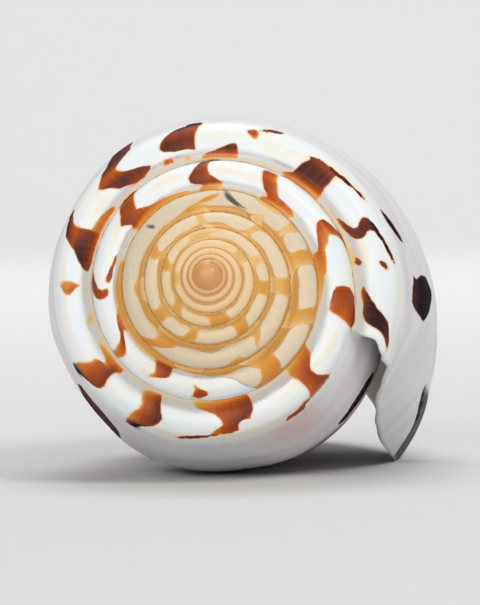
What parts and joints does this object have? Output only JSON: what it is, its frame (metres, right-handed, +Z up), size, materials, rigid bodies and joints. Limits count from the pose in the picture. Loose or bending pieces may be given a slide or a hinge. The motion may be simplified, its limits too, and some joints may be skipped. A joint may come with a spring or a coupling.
{
  "type": "cone shell",
  "caption": "Cone snail shell lying on its side: low stepped spire, rounded shoulder, tapering body and a long narrow aperture underneath.",
  "frame": {"origin": "on the surface the shell rests on, under the middle of its bounding box", "axes": "+Z up; +Y along the shell from the spire towards the canal end, the longest way; +X towards the lip side"},
  "size_m": [0.0386, 0.0768, 0.0357],
  "materials": {
    "shell": "natural shell, smooth and softly glossy, ivory with tan early whorls and brown flames and blotches"
  },
  "bodies": {
    "root": {"shell": "shell"}
  },
  "joints": []
}
